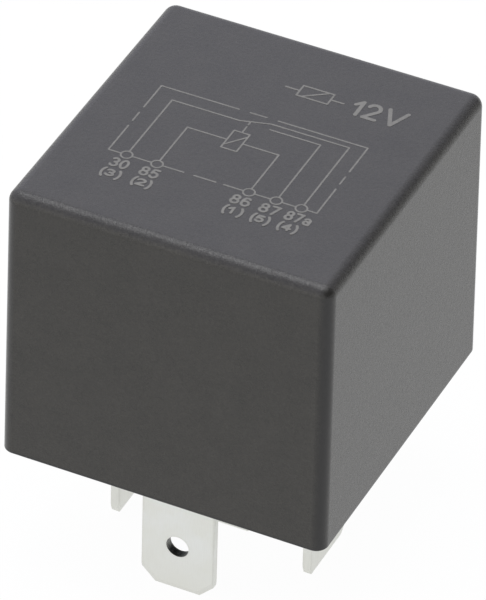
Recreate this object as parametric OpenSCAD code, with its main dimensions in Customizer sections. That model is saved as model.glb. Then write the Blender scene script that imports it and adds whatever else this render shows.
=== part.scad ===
// Plug-in automotive changeover relay with five blade terminals, in millimetres.
// The origin is the centre of the seating plane, where the rim of the case meets its socket.
// +Z runs from the blades into the case, +X to the right of the diagram on the lid, and the
// blade of the closing contact, 87, stands at the -Y side.

/* [Case] */
// Width of the case at its rim, along X
case_w = 28; // [26:0.1:34]
// Depth of the case at its rim, along Y
case_d = 29.25; // [28.8:0.05:34]
// Height of the case above the seating plane
case_h = 25.3; // [22:0.1:32]
// Wall thickness of the case above the base
wall = 1.1; // [0.9:0.05:1.4]
// Thickness of the lid
lid_t = 1.2; // [0.8:0.1:2]
// Step in the wall that the base seats against
ledge = 0.3; // [0.2:0.05:0.5]
// How far each wall leans inwards over the height of the case
draft = 0.25; // [0.1:0.05:0.4]
// Radius of the four upright edges
upright_r = 1.06; // [0.8:0.02:2]
// Radius of the edge around the lid
lid_edge_r = 0.92; // [0.4:0.02:1.4]
// Radius of the edges inside the case
inner_r = 0.4; // [0.2:0.05:0.8]

/* [Base] */
// Thickness of the base plate
base_t = 3.4; // [3:0.1:4.5]
// Width of the sealing groove between the base and the rim
groove_w = 1.1; // [0.6:0.1:1.3]
// Depth of the sealing groove
groove_h = 1.4; // [0.8:0.1:2]
// Width of the sealing well around each blade
well_margin = 0.8; // [0.4:0.1:0.9]
// Depth of the sealing wells
well_h = 1; // [0.6:0.1:1.2]
// How far the sealing compound stays below the seating plane
seal_recess = 0.15; // [0.05:0.05:0.4]
// Height of the guides that hold the fixed contacts, above the base plate
guide_h = 8; // [5:0.5:10]
// Wall thickness of those guides
guide_wall = 1.1; // [0.8:0.1:1.2]

/* [Blades] */
// Width of a blade
blade_w = 6.3; // [4.8:0.1:6.5]
// Thickness of the blades and of the strips that they are part of
blade_t = 0.8; // [0.6:0.05:1]
// Length of the blades below the seating plane
blade_len = 11.5; // [9:0.5:14]
// Width and height of the bevelled corners at the tips of the contact blades
tip_corner = 1.2; // [0.6:0.1:2]
// Width and height of the bevelled corners at the tips of the two coil blades
coil_tip_corner = 0.4; // [0.2:0.1:2]
// Length of the coined bevel on both faces of a blade, along its tip and its bevelled corners
lead_in = 0.4; // [0.3:0.05:1.2]
// Thickness of a blade at its tip
tip_t = 0.5; // [0.3:0.05:0.6]
// Bevel that breaks the long edges of a blade
edge_break = 0.08; // [0.03:0.01:0.15]
// Diameter of the detent hole
detent_d = 1.95; // [1.5:0.05:2.5]
// Height of the detent hole above the tip
detent_up = 4.35; // [3.5:0.05:5]
// Place of blade 87, from the middle of the case along Y
front_y = -10.8; // [-11:0.05:-10.4]
// Distance from blade 87 back to blades 85, 86 and 87a
middle_row = 8.85; // [8.4:0.05:9.4]
// Distance from blade 87 back to blade 30
rear_row = 17; // [16.5:0.1:17.3]
// Distance of blades 85 and 86 from the middle
side_x = 8.5; // [8:0.1:9.5]
// Width of a blade's shoulders on the base
shoulder_w = 7.4; // [7:0.1:8]

/* [Magnet] */
// Diameter of the core
core_d = 6; // [4:0.5:7]
// Diameter of the core's rivet end in the yoke
core_rivet_d = 4.6; // [3:0.1:5]
// Diameter of the pole face
pole_d = 9.4; // [8:0.1:11]
// Thickness of the pole face
pole_t = 1; // [0.6:0.1:1.5]
// Wall of the bobbin's tube
tube_wall = 0.8; // [0.5:0.1:1.2]
// Thickness of the bobbin's flanges
flange_t = 1; // [0.7:0.1:1.5]
// How far the winding stays inside the flanges
winding_inset = 0.8; // [0.4:0.1:1.5]
// Thickness of the yoke
yoke_t = 1.6; // [1.2:0.1:2]
// Width of the yoke behind the coil
yoke_w = 12; // [11:0.1:14]
// Width of the yoke's foot under the coil
yoke_foot_w = 8.4; // [7.6:0.1:8.8]
// Height of the rails that lift the yoke off the base
rail_h = 0.4; // [0.2:0.1:1]
// Depth of the yoke's two pegs in the base
peg_depth = 2; // [1:0.1:2.2]

/* [Armature and spring] */
// Thickness of the armature
armature_t = 1.4; // [1:0.1:2]
// Width of the armature
armature_w = 11; // [10:0.1:12.5]
// Thickness of the contact spring
spring_t = 0.3; // [0.15:0.05:0.4]
// Width of the contact spring on the armature and the yoke
spring_w = 9; // [8.8:0.1:9.8]
// Width of the spring's tongue at the moving contact
tongue_w = 5.2; // [4.4:0.1:6]
// Width of the spring's window, which the armature's tail passes through
window_w = 4.6; // [4:0.1:5.4]

/* [Contacts] */
// Diameter of the contact heads
contact_d = 3.2; // [2.4:0.1:3.6]
// Thickness of a contact head
contact_t = 0.5; // [0.3:0.05:0.8]
// Radius of the moving contact's domed faces
dome_r = 8; // [5:0.5:12]
// Diameter of the contacts' rivet shanks
contact_shank_d = 1.6; // [1:0.1:2]
// Open gap at the closing contact
contact_gap = 0.6; // [0.3:0.05:0.9]
// Travel left in the armature when the closing contact touches
overtravel = 0.2; // [0.1:0.05:0.4]
// Distance of the contacts behind blade 87's inner face
contact_back = 2; // [1.9:0.1:2.6]
// Width of the strip that holds contact 87a
nc_arm_w = 3; // [2.6:0.1:3.2]
// Width of the strip that holds contact 87
no_arm_w = 5; // [3.6:0.1:5.6]
// Distance of the upright strip of 87a from the middle
nc_post_x = 6.3; // [6:0.1:7]

/* [Fasteners and wire] */
// Diameter of the rivets through the yoke and the armature
rivet_d = 1.6; // [1.2:0.1:2]
// Diameter of their heads
rivet_head_d = 2.8; // [2.2:0.1:3.2]
// Thickness of their heads
rivet_head_t = 0.5; // [0.3:0.05:0.7]
// Distance between the two rivets of a pair
rivet_pitch = 5.2; // [4.8:0.1:5.6]
// Diameter of the coil's leads
wire_d = 0.3; // [0.2:0.05:0.4]
// Turns of a lead around its post
wire_turns = 3; // [2:1:4]
// Width of the posts that the leads are wrapped on
post_w = 1; // [0.8:0.1:1.4]

/* [Clearances] */
// Gap around the base plate in the rim
base_gap = 0.1; // [0.05:0.05:0.2]
// Gap around each strip in the plastic that holds it
slot_gap = 0.05; // [0.02:0.01:0.1]
// Radial gap around a rivet's shank
rivet_gap = 0.02; // [0.01:0.01:0.05]
// Gap between the resting contacts
touch_gap = 0.02; // [0.01:0.01:0.05]
// Free height under the lid, above the fixed contact 87a
lid_room = 0.6; // [0.3:0.1:1.5]
// Free depth behind the yoke
back_room = 3; // [2.6:0.1:3.6]
// Gap between the coil and the fixed contacts in front of it
coil_gap = 0.9; // [0.6:0.1:1.2]
// Gap between the bobbin's flanges and blades 85 and 86
flange_gap = 0.6; // [0.4:0.1:1.2]

/* [Hidden] */

// Smoothness of true arcs, and of the arcs inside a hull
arc_fn = 64;
// The wide, shallow domes need finer steps
dome_fn = 240;
hull_fn = 32;
// Overshoot of a cutter past the face that it opens
cut = 1;
// Overlap that joins a turned piece of one strip to the next
join = 0.02;

tin = [0.82, 0.82, 0.80];
case_black = [0.27, 0.265, 0.26];
base_black = [0.2, 0.2, 0.2];

// Case and base
smallest_r = 0.2;
rim_wall = wall - ledge;
rim_w = case_w - 2 * rim_wall;
rim_d = case_d - 2 * rim_wall;
rim_r = max(upright_r - rim_wall, smallest_r);
base_w = rim_w - 2 * base_gap;
base_d = rim_d - 2 * base_gap;
cavity_top = case_h - lid_t;
function lean(z) = draft * z / case_h;

// How far a part of a moulding or strip reaches into the one that carries it
root = 0.5;

// Blade rows
middle_y = front_y + middle_row;
rear_y = front_y + rear_row;
tip_z = -blade_len;
blade_places = [[0, front_y, 0], [0, middle_y, 0], [side_x, middle_y, 90],
                [-side_x, middle_y, 90], [0, rear_y, 90]];

// Inner radius of the folds in the terminals' strips
fold_r = 0.3;

// Plan of the mechanism, from the front to the back
contact_y = front_y + blade_t / 2 + contact_back;
nc_front = contact_y - nc_arm_w / 2;
nc_back = contact_y + nc_arm_w / 2;
flange_front = nc_back + coil_gap;
yoke_back = case_d / 2 - draft - wall - back_room;
yoke_inside = yoke_back - yoke_t;
bobbin_gap = 0.1;
flange_back = yoke_inside - bobbin_gap;
flange_d = flange_back - flange_front;
flange_w = 2 * (side_x - blade_t / 2 - flange_gap);
coil_y = (flange_front + flange_back) / 2;
winding_r = min(flange_w, flange_d) / 2 - winding_inset;
tube_r = core_d / 2 + slot_gap + tube_wall;
foot_margin = 2;
yoke_front = coil_y - core_d / 2 - foot_margin;
armature_inset = 0.2;
armature_front = flange_front + armature_inset;

// Tilt of the resting armature about the yoke's rear edge
reach = yoke_back - contact_y;
rest_tilt = asin((contact_gap + overtravel) / reach);

// Closed end of a fixed contact's shank: its thickness and how far it spreads
tail_t = 0.35;
tail_spread = 0.4;
tail_bevel = 0.15;

// Heights, from the lid down. pole_z is the plane of the pole face and of the yoke's upper edge
nc_z = cavity_top - lid_room - tail_t - blade_t;
dome_top = armature_t + spring_t + contact_t - dome_r;
dome_low = armature_t - contact_t + dome_r;
pole_z = nc_z - contact_t - touch_gap
       - (dome_top * cos(rest_tilt) + reach * sin(rest_tilt) + dome_r);
no_contact_z = pole_z + dome_low * cos(rest_tilt) + reach * sin(rest_tilt) - dome_r - contact_gap;
no_z = no_contact_z - contact_t - blade_t;

// Heights, from the base up
yoke_z = base_t + rail_h;
coil_z = yoke_z + yoke_t;
winding_z = coil_z + flange_t;
flange_top_z = pole_z - pole_t;
winding_h = flange_top_z - flange_t - winding_z;
guide_top = base_t + guide_h;

// Yoke bend, and the pegs beside it with a gap to the foot
yoke_bend_r = 0.4;
peg_gap = 0.3;
peg_w = (yoke_w - yoke_foot_w) / 2 - peg_gap;
peg_x = (yoke_w - peg_w) / 2;
peg_z = base_t - peg_depth;

// Terminal 30: its foot lies in the base with plastic below and above, and its folded flag
// stands behind the yoke
foot_cover = 0.2;
flag_y = yoke_back + spring_t;
flag_foot_z = well_h + foot_cover;
flag_foot_top = base_t - foot_cover;
flag_stem_w = 3;
rivet_drop = 5.5;
rivet_z = pole_z - rivet_drop;
flag_half_h = 2.2;
flag_margin = 1.6;

// Terminal 87a: its strip lies in the base over some plastic, and turns aside before the post
strip_cover = 0.6;
turn_gap = 0.6;
nc_strip_z = well_h + strip_cover;
nc_bend_y = middle_y - blade_t / 2 - fold_r;
nc_turn_y = nc_bend_y - turn_gap;
leg_inset = 0.75;
nc_leg_w = blade_w - 2 * leg_inset;
nc_post_in = -nc_post_x + blade_t / 2;

// Shelf beyond the contact that it carries
shelf_margin = 0.6;

// Coil terminals: height of the shoulders, then a stem, then the post for the lead
shoulder_h = 1.2;
stem_w = 3;
stem_h = 1.4;
post_z = base_t + shoulder_h + stem_h;
post_reach = 4;
post_top = winding_z + post_reach;

// Coil leads: start on the winding, then turns around the post
lead_up = 0.4;
lead_start_angle = 12;
lead_rise = 0.3;
lead_z = winding_z + lead_up;
lead_pitch = wire_d * 1.25;
lead_step = 30;
lead_wrap_r = (norm([post_w, blade_t]) / 2 + wire_d / 2) / cos(lead_step / 2) + touch_gap;

// Armature: shoulders in front of the spring's bends, and a tail through its window
rivet_shift = 0.5;
armature_rivet_y = coil_y + rivet_shift;
armature_r = 1.2;
tail_len = 2;
armature_shoulder_y = yoke_back - tail_len;
tail_gap = 0.3;
tail_w = window_w - 2 * tail_gap;

// Contact spring: its bend leaves the yoke's back at spring_bend_z, so that it ends on the armature
// at spring_end_y
bend_room = 0.05;
spring_bend_r = armature_t + bend_room;
spring_bend_z = pole_z + (armature_t + spring_bend_r * sin(rest_tilt) * (1 - sin(rest_tilt)))
              / cos(rest_tilt) - spring_bend_r * cos(rest_tilt);
spring_end_y = yoke_back - cos(rest_tilt) * spring_bend_r * (1 - sin(rest_tilt))
             - sin(rest_tilt) * (spring_bend_z + spring_bend_r * cos(rest_tilt) - pole_z);
// Its window, below and in front of the bend, and its tongue's taper in front of the rivets
window_drop = 2.2;
window_reach = 1.6;
taper_start = 3;
taper_len = 2.4;

// ---- Helpers ----

// Sketch plane YZ: the sketch's X goes to Y and its Y to Z, and depth goes to X
module in_yz() { rotate([90, 0, 90]) children(); }

// Sketch plane XZ: the sketch's Y goes to Z, and depth goes to -Y
module in_xz() { rotate([90, 0, 0]) children(); }

// Copies children to the four corners of a w by d rectangle
module corners(w, d) {
    for (x = [-1, 1], y = [-1, 1]) translate([x * w / 2, y * d / 2]) children();
}

module rounded_rect(w, d, r) {
    square([w - 2 * r, d], center = true);
    square([w, d - 2 * r], center = true);
    corners(w - 2 * r, d - 2 * r) circle(r, $fn = arc_fn);
}

module rounded_plate(w, d, h, r) { linear_extrude(h) rounded_rect(w, d, r); }

// Box given by its lowest and highest corners
module box(low, high) { translate(low) cube(high - low); }

// Bend of a strip: w wide along Z, from the X axis through an angle
module fold(w, turn = 90, inner_r = fold_r, t = blade_t) {
    rotate_extrude(angle = turn, $fn = arc_fn) translate([inner_r, -w / 2]) square([t, w]);
}

// Disc with a quarter-round upper edge, for the corners of a moulded lid
module rounded_puck(r, edge_r) {
    rotate_extrude($fn = hull_fn) intersection() {
        translate([r - edge_r, 0]) circle(edge_r, $fn = hull_fn);
        square([r, edge_r]);
    }
}

// Moulded block with leaning walls, rounded uprights and a rounded upper edge
module drafted_block(w, d, h, r, edge_r) {
    hull() {
        corners(w - 2 * r, d - 2 * r) cylinder(r = r, h = join, $fn = hull_fn);
        translate([0, 0, h - edge_r])
            corners(w - 2 * (r + lean(h)), d - 2 * (r + lean(h))) rounded_puck(r, edge_r);
    }
}

// Moves children from their place on a closed armature to the resting one
module at_rest() {
    translate([0, yoke_back, pole_z]) rotate([-rest_tilt, 0, 0])
        translate([0, -yoke_back, -pole_z]) children();
}

module at_rivet_pair() { for (x = [-1, 1]) translate([x * rivet_pitch / 2, 0, 0]) children(); }

// Rivet with a low domed head above z = 0 and its shank below
module rivet(grip) {
    head_r = rivet_head_d / 2;
    head_dome_r = 2 * head_r;
    intersection() {
        cylinder(r = head_r, h = rivet_head_t, $fn = arc_fn);
        translate([0, 0, rivet_head_t - head_dome_r]) sphere(head_dome_r, $fn = dome_fn);
    }
    translate([0, 0, -grip]) cylinder(d = rivet_d, h = grip, $fn = arc_fn);
}

// Fixed contact: face at z = 0, head and shank below, closed under a strip
module fixed_contact() {
    bevel = 0.15;
    head_r = contact_d / 2;
    shank_r = contact_shank_d / 2;
    tail_r = shank_r + tail_spread;
    tail_z = -contact_t - blade_t;
    rotate_extrude($fn = arc_fn) polygon([
        [0, 0], [head_r - bevel, 0], [head_r, -bevel], [head_r, -contact_t],
        [shank_r, -contact_t], [shank_r, tail_z], [tail_r, tail_z],
        [tail_r - tail_bevel, tail_z - tail_t], [0, tail_z - tail_t]]);
}

module contact_hole(h) {
    cylinder(r = contact_shank_d / 2 + rivet_gap, h = h, center = true, $fn = arc_fn);
}

module rivet_hole(h) {
    cylinder(r = rivet_d / 2 + rivet_gap, h = h, center = true, $fn = arc_fn);
}

// Straight up, a direction that the wires never take
straight_up = [0, 0, 1];

// Round wire swept along a path
function unit(v) = v / norm(v);
function heading(path, i) =
    unit(path[min(i + 1, len(path) - 1)] - path[max(i - 1, 0)]);
function wire_ring(path, i, r, sides) =
    let (ahead = heading(path, i), across = unit(cross(ahead, straight_up)),
         upward = cross(across, ahead))
    [for (k = [0 : sides - 1])
        path[i] + r * (cos(360 * k / sides) * across + sin(360 * k / sides) * upward)];

module wire(path, d, sides = 8) {
    rings = len(path);
    points = [for (i = [0 : rings - 1]) each wire_ring(path, i, d / 2, sides)];
    skin = [for (i = [0 : rings - 2], k = [0 : sides - 1])
        let (next = (k + 1) % sides)
        [i * sides + k, i * sides + next, (i + 1) * sides + next, (i + 1) * sides + k]];
    first = [for (k = [sides - 1 : -1 : 0]) k];
    last = [for (k = [0 : sides - 1]) (rings - 1) * sides + k];
    polyhedron(points, concat([first], skin, [last]));
}

// ---- Case, base and seal ----

module cover() {
    color(case_black) difference() {
        drafted_block(case_w, case_d, case_h, upright_r, lid_edge_r);
        translate([0, 0, base_t])
            drafted_block(case_w - 2 * (wall + lean(base_t)), case_d - 2 * (wall + lean(base_t)),
                          cavity_top - base_t, inner_r, inner_r);
        translate([0, 0, -cut]) rounded_plate(rim_w, rim_d, base_t + cut, rim_r);
    }
}

module at_blades() {
    for (place = blade_places) translate([place[0], place[1], 0]) rotate(place[2]) children();
}

// Guide that grips the plate of terminal 87 by its edges, open towards the coil
module front_guide() {
    lip = 0.6;
    half = shoulder_w / 2 + slot_gap + guide_wall;
    inner_y = front_y - blade_t / 2 - slot_gap;
    outer_y = front_y + blade_t / 2 + slot_gap;
    difference() {
        box([-half, inner_y - guide_wall, base_t - root], [half, outer_y + lip, guide_top]);
        box([-shoulder_w / 2 - slot_gap, inner_y, base_t],
            [shoulder_w / 2 + slot_gap, outer_y, guide_top + cut]);
        box([-shoulder_w / 2 + guide_wall, outer_y - cut / 2, base_t],
            [shoulder_w / 2 - guide_wall, outer_y + lip + cut, guide_top + cut]);
    }
}

// Guide around the upright strip of terminal 87a, open towards the middle
module side_guide() {
    inner_x = -nc_post_x - blade_t / 2 - slot_gap;
    lip_x = nc_post_in + fold_r;
    back_lip = 0.5;
    difference() {
        box([inner_x - guide_wall, nc_front - slot_gap - guide_wall, base_t - root],
            [lip_x, nc_back + slot_gap + back_lip, guide_top]);
        box([inner_x, nc_front - slot_gap, base_t],
            [lip_x + cut, nc_back + slot_gap, guide_top + cut]);
    }
}

module base() {
    rail_w = 0.8;
    rail_inset = 0.1;
    rail_x = (yoke_foot_w - rail_w) / 2 - rail_inset;
    rail_end_gap = 1;
    rail_back = yoke_inside - rail_end_gap;
    color(base_black) difference() {
        union() {
            translate([0, 0, groove_h])
                rounded_plate(base_w, base_d, base_t - groove_h, rim_r);
            rounded_plate(base_w - 2 * groove_w, base_d - 2 * groove_w, groove_h + root, rim_r);
            front_guide();
            side_guide();
            for (x = [-1, 1]) translate([x * rail_x, 0, 0])
                box([-rail_w / 2, yoke_front, base_t - root], [rail_w / 2, rail_back, yoke_z]);
        }
        // Slots and sealing wells of the five blades
        at_blades() {
            box([-blade_w / 2 - slot_gap, -blade_t / 2 - slot_gap, -cut],
                [blade_w / 2 + slot_gap, blade_t / 2 + slot_gap, yoke_z + cut]);
            box([-blade_w / 2 - well_margin, -blade_t / 2 - well_margin, -cut],
                [blade_w / 2 + well_margin, blade_t / 2 + well_margin, well_h]);
        }
        nc_channel();
        flag_channel();
        // Sockets of the yoke's pegs
        for (x = [-1, 1]) translate([x * peg_x, 0, 0])
            box([-peg_w / 2 - slot_gap, yoke_inside - slot_gap, peg_z - slot_gap],
                [peg_w / 2 + slot_gap, yoke_back + slot_gap, base_t + cut]);
    }
}

// Channel in the base for the flat strip of terminal 87a
module nc_channel() {
    g = slot_gap;
    low = nc_strip_z - g;
    high = yoke_z + cut;
    box([-blade_w / 2 - g, nc_turn_y - g, low], [blade_w / 2 + g, middle_y, high]);
    box([-blade_w / 2 - g, nc_bend_y, low - fold_r], [blade_w / 2 + g, middle_y, nc_strip_z]);
    box([-nc_leg_w / 2 - g, nc_front - g, low], [nc_leg_w / 2 + g, nc_turn_y, high]);
    box([-nc_post_x - blade_t / 2 - g, nc_front - g, low], [nc_leg_w / 2 + g, nc_back + g, high]);
}

// Channel in the base for the foot and the stem of terminal 30's flag
module flag_channel() {
    g = slot_gap;
    flag_back = flag_y + blade_t + g;
    box([-blade_t / 2 - g, rear_y, flag_foot_z - g], [blade_t / 2 + g, flag_back, base_t + cut]);
    box([-blade_t / 2 - g, flag_y - fold_r - g, flag_foot_z - g],
        [blade_t / 2 + fold_r + flag_stem_w + g, flag_back, base_t + cut]);
}

// Resin in the groove around the base and in the well around each blade
module sealing_compound() {
    color([0.12, 0.12, 0.13]) difference() {
        translate([0, 0, seal_recess]) union() {
            difference() {
                rounded_plate(rim_w, rim_d, groove_h - seal_recess, rim_r);
                translate([0, 0, -cut])
                    rounded_plate(base_w - 2 * groove_w, base_d - 2 * groove_w,
                                  groove_h + 2 * cut, rim_r);
            }
            at_blades() box([-blade_w / 2 - well_margin, -blade_t / 2 - well_margin, 0],
                            [blade_w / 2 + well_margin, blade_t / 2 + well_margin,
                             well_h - seal_recess]);
        }
        at_blades() translate([0, 0, -cut]) linear_extrude(base_t) blade_section();
    }
}

// ---- Terminals ----

// Section of a blade, with its long edges broken
module blade_section() {
    x = blade_w / 2;
    y = blade_t / 2;
    polygon([[-x + edge_break, -y], [x - edge_break, -y], [x, -y + edge_break], [x, y - edge_break],
             [x - edge_break, y], [-x + edge_break, y], [-x, y - edge_break], [-x, -y + edge_break]]);
}

// Wide strip of a blade's thickness whose lower edge, at z = 0, is thinned on both faces
module thinned_edge() {
    strip_h = 2 * (blade_len + case_h);
    in_yz() linear_extrude(2 * strip_h, center = true) polygon([
        [-blade_t / 2, strip_h], [-blade_t / 2, lead_in], [-tip_t / 2, 0],
        [tip_t / 2, 0], [blade_t / 2, lead_in], [blade_t / 2, strip_h]]);
}

// Blade from its tip up to a given height: width along X, thickness along Y, corner as the
// width and height of its bevelled tip corners
module blade(top, corner) {
    difference() {
        intersection() {
            translate([0, 0, tip_z]) linear_extrude(top - tip_z) blade_section();
            translate([0, 0, tip_z]) thinned_edge();
            translate([blade_w / 2 - corner, 0, tip_z]) rotate([0, -45, 0]) thinned_edge();
            translate([-blade_w / 2 + corner, 0, tip_z]) rotate([0, 45, 0]) thinned_edge();
        }
        translate([0, 0, tip_z + detent_up]) in_xz()
            cylinder(d = detent_d, h = 2 * blade_t, center = true, $fn = arc_fn);
    }
}

// Upright plate of a terminal between two heights, w wide along X
module plate(w, low, high) { box([-w / 2, -blade_t / 2, low], [w / 2, blade_t / 2, high]); }

// Fixed contact strip 87: blade, guided plate, fold and shelf under the moving contact
module terminal_87() {
    bend_z = no_z - fold_r;
    color(tin) difference() {
        union() {
            translate([0, front_y, 0]) {
                blade(base_t, tip_corner);
                plate(shoulder_w, base_t, guide_top);
                plate(no_arm_w, guide_top, bend_z);
            }
            translate([0, front_y + blade_t / 2 + fold_r, bend_z])
                in_yz() rotate(90) fold(no_arm_w);
            box([-no_arm_w / 2, front_y + blade_t / 2 + fold_r, no_z],
                [no_arm_w / 2, nc_back, no_z + blade_t]);
        }
        translate([0, contact_y, no_z]) contact_hole(4 * blade_t);
    }
}

// Fixed contact strip 87a: blade, flat strip in the base, upright strip and shelf above the
// moving contact
module terminal_87a() {
    strip_top = nc_strip_z + blade_t;
    arm_in = nc_post_in + fold_r;
    color(tin) difference() {
        union() {
            translate([0, middle_y, 0]) blade(nc_strip_z - fold_r, tip_corner);
            translate([0, nc_bend_y, nc_strip_z - fold_r]) in_yz() fold(blade_w);
            box([-blade_w / 2, nc_turn_y, nc_strip_z], [blade_w / 2, nc_bend_y, strip_top]);
            box([-nc_leg_w / 2, nc_front, nc_strip_z], [nc_leg_w / 2, nc_turn_y, strip_top]);
            box([arm_in, nc_front, nc_strip_z], [nc_leg_w / 2, nc_back, strip_top]);
            translate([arm_in, contact_y, strip_top + fold_r])
                in_xz() rotate(180) fold(nc_arm_w);
            box([nc_post_in - blade_t, nc_front, strip_top + fold_r],
                [nc_post_in, nc_back, nc_z - fold_r]);
            translate([arm_in, contact_y, nc_z - fold_r])
                in_xz() rotate(90) fold(nc_arm_w);
            box([arm_in, nc_front, nc_z],
                [contact_d / 2 + shelf_margin, nc_back, nc_z + blade_t]);
        }
        translate([0, contact_y, nc_z]) contact_hole(4 * blade_t);
    }
}

// Blade of a coil terminal with its shoulders and the post for the lead
module coil_terminal(side) {
    color(tin) translate([side * side_x, middle_y, 0]) rotate(90) {
        blade(base_t, coil_tip_corner);
        plate(shoulder_w, base_t, base_t + shoulder_h);
        plate(stem_w, base_t + shoulder_h, post_z);
        plate(post_w, post_z, post_top);
    }
}

// Common terminal 30: blade, foot in the base and a folded flag riveted to the yoke's back
module terminal_30() {
    stem_x = blade_t / 2 + fold_r;
    flag_w = rivet_pitch + 2 * flag_margin;
    color(tin) difference() {
        union() {
            translate([0, rear_y, 0]) rotate(90) blade(flag_foot_top, tip_corner);
            box([-blade_t / 2, rear_y, flag_foot_z],
                [blade_t / 2, flag_y - fold_r, flag_foot_top]);
            translate([stem_x, flag_y - fold_r, (flag_foot_z + flag_foot_top) / 2])
                rotate(90) fold(flag_foot_top - flag_foot_z);
            box([stem_x, flag_y, flag_foot_z],
                [stem_x + flag_stem_w, flag_y + blade_t, rivet_z - flag_half_h + root]);
            box([-flag_w / 2, flag_y, rivet_z - flag_half_h],
                [flag_w / 2, flag_y + blade_t, rivet_z + flag_half_h]);
        }
        at_rivet_pair() translate([0, flag_y, rivet_z]) in_xz() rivet_hole(4 * blade_t);
    }
}

// ---- Magnet ----

// Yoke: an upright plate behind the coil, a foot folded under it and two pegs into the base
module yoke() {
    color([0.62, 0.6, 0.56]) difference() {
        union() {
            box([-yoke_w / 2, yoke_inside, coil_z + yoke_bend_r], [yoke_w / 2, yoke_back, pole_z]);
            for (x = [-1, 1]) translate([x * peg_x, 0, 0])
                box([-peg_w / 2, yoke_inside, peg_z], [peg_w / 2, yoke_back, coil_z + yoke_bend_r]);
            translate([0, yoke_inside - yoke_bend_r, coil_z + yoke_bend_r])
                in_yz() rotate(-90) fold(yoke_foot_w, 90, yoke_bend_r, yoke_t);
            box([-yoke_foot_w / 2, yoke_front, yoke_z],
                [yoke_foot_w / 2, yoke_inside - yoke_bend_r, coil_z]);
        }
        translate([0, coil_y, coil_z])
            cylinder(r = core_rivet_d / 2 + rivet_gap, h = 4 * yoke_t, center = true, $fn = arc_fn);
        at_rivet_pair() translate([0, yoke_back, rivet_z]) in_xz() rivet_hole(4 * yoke_t);
    }
}

// Core with its rivet end in the yoke and its pole face on the bobbin
module core() {
    bevel = 0.2;
    color([0.66, 0.64, 0.6]) translate([0, coil_y, 0]) rotate_extrude($fn = arc_fn) polygon([
        [0, yoke_z], [core_rivet_d / 2, yoke_z], [core_rivet_d / 2, coil_z],
        [core_d / 2, coil_z], [core_d / 2, flange_top_z], [pole_d / 2, flange_top_z],
        [pole_d / 2, pole_z - bevel], [pole_d / 2 - bevel, pole_z], [0, pole_z]]);
}

// Bobbin: a tube and two flanges with a notch for each lead
module bobbin() {
    flange_r = 1;
    notch_w = 1.2;
    color([0.86, 0.84, 0.76]) difference() {
        translate([0, coil_y, 0]) union() {
            for (z = [coil_z, flange_top_z - flange_t]) translate([0, 0, z])
                rounded_plate(flange_w, flange_d, flange_t, flange_r);
            translate([0, 0, coil_z])
                cylinder(r = tube_r, h = flange_top_z - coil_z, $fn = arc_fn);
        }
        translate([0, coil_y, coil_z - cut])
            cylinder(r = core_d / 2 + slot_gap, h = flange_top_z - coil_z + 2 * cut, $fn = arc_fn);
        // Relief over the yoke's bend
        box([-flange_w, yoke_inside - yoke_bend_r - slot_gap, coil_z - cut],
            [flange_w, flange_back + cut, coil_z + yoke_bend_r]);
        // Notches where the leads leave the coil
        for (x = [-1, 1]) translate([x * flange_w / 2, middle_y, coil_z - cut])
            translate([-notch_w / 2, -notch_w / 2, 0]) cube([notch_w, notch_w, flange_t + 2 * cut]);
    }
}

// Winding, as one solid with its ends stepped back a little
module winding() {
    bevel = 0.35;
    color([0.72, 0.35, 0.16]) translate([0, coil_y, winding_z]) rotate_extrude($fn = arc_fn)
        polygon([[tube_r, 0], [winding_r - bevel, 0], [winding_r, bevel],
                 [winding_r, winding_h - bevel], [winding_r - bevel, winding_h],
                 [tube_r, winding_h]]);
}

// Lead from the winding's surface over the flange and around its post
module coil_lead(side) {
    post = [side * side_x, middle_y];
    off = winding_r + wire_d / 2 + touch_gap;
    start = [side * off * cos(lead_start_angle), coil_y - off * sin(lead_start_angle), lead_z];
    wrap = [for (a = [0 : lead_step : 360 * wire_turns])
        [post[0] - side * lead_wrap_r * cos(a), post[1] + lead_wrap_r * sin(a),
         lead_z + lead_rise + lead_pitch * a / 360]];
    color([0.72, 0.35, 0.16]) wire(concat([start, (start + wrap[0]) / 2], wrap), wire_d);
}

// ---- Armature, spring and contacts ----

// Outline of the armature: a plate with two rounded front corners and a tail at the back
module armature_outline() {
    half = armature_w / 2;
    r = armature_r;
    translate([-half, armature_front + r])
        square([2 * half, armature_shoulder_y - armature_front - r]);
    translate([-half + r, armature_front]) square([2 * (half - r), 2 * r]);
    for (x = [-1, 1]) translate([x * (half - r), armature_front + r]) circle(r, $fn = arc_fn);
    translate([-tail_w / 2, armature_shoulder_y - root])
        square([tail_w, yoke_back - armature_shoulder_y + root]);
}

module armature() {
    color([0.64, 0.62, 0.58]) at_rest() difference() {
        translate([0, 0, pole_z]) linear_extrude(armature_t) armature_outline();
        at_rivet_pair() translate([0, armature_rivet_y, pole_z]) rivet_hole(4 * armature_t);
    }
}

// Outline of the spring's tongue on the armature: wide at the rivets, then a taper to the contact
module tongue_outline() {
    wide_y = armature_rivet_y - taper_start;
    narrow_y = wide_y - taper_len;
    translate([-spring_w / 2, wide_y]) square([spring_w, spring_end_y + join - wide_y]);
    polygon([[-spring_w / 2, wide_y], [spring_w / 2, wide_y],
             [tongue_w / 2, narrow_y], [-tongue_w / 2, narrow_y]]);
    translate([-tongue_w / 2, contact_y]) square([tongue_w, narrow_y - contact_y]);
    translate([0, contact_y]) circle(d = tongue_w, $fn = arc_fn);
}

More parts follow.
